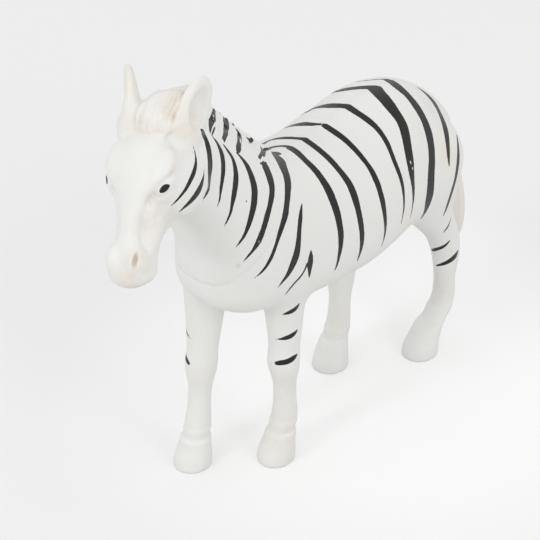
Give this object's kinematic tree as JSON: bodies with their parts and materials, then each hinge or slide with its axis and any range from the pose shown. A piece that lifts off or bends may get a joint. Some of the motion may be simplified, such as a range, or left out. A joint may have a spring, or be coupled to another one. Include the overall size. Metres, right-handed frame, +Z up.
{
  "type": "toy animal figure",
  "caption": "Free-standing moulded soft-plastic toy zebra in a walking stance: two hollow body halves with the legs on, a plugged-in head and neck, and a separate tail.",
  "frame": {"origin": "on the floor, under the middle of the figure's bounding box", "axes": "+X towards the head, +Y to the animal's left, +Z up"},
  "size_m": [0.1158, 0.0276, 0.1],
  "materials": {
    "white_vinyl": "satin moulded soft vinyl, with glossy black painted stripes and eyes",
    "cream_vinyl": "satin moulded soft vinyl, tinted warm cream"
  },
  "bodies": {
    "root": {"left_body_half": "white_vinyl", "right_body_half": "white_vinyl", "head_and_neck": "white_vinyl", "tail": "cream_vinyl"}
  },
  "joints": []
}
